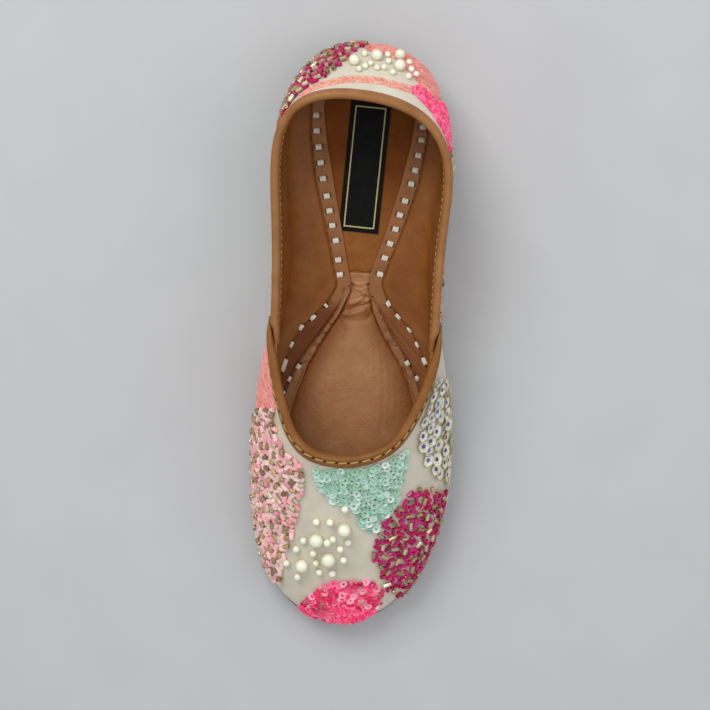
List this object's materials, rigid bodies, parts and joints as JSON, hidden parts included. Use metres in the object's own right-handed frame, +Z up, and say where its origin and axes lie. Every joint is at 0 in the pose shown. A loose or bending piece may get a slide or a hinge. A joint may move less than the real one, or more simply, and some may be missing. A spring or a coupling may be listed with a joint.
{
  "type": "mojari shoe",
  "caption": "Flat slip-on mojari with a rounded toe, deep throat, leather-bound collar, turned-in stitched lining flaps and a low heel; right shoe, embroidered.",
  "frame": {"origin": "middle of the shoe's box, on the floor that it stands on", "axes": "+Z up; +Y towards the heel, so the toe points along -Y; +X towards the inner side of the foot"},
  "size_m": [0.082, 0.2492, 0.0571],
  "materials": {
    "cream_satin": "smooth satin",
    "tan_leather": "soft, fine creases",
    "binding_leather": "smooth, waxed",
    "sole_leather": "burnished edge",
    "black_weave": "fine woven",
    "gold_thread": "shiny metallic thread",
    "cotton_thread": "matt twisted cotton",
    "silk_thread": "shiny satin stitch",
    "pearl": "pearl lustre",
    "glass_bead": "bright cut glass",
    "sequin": "glossy film"
  },
  "bodies": {
    "root": {"upper": "cream_satin", "outsole": "sole_leather", "heel": "sole_leather", "insole": "tan_leather", "flap_medial": "tan_leather", "flap_lateral": "tan_leather", "collar_binding": "binding_leather", "vamp_binding": "binding_leather", "seam_medial": "binding_leather", "seam_lateral": "binding_leather", "patch": "black_weave"}
  },
  "joints": []
}
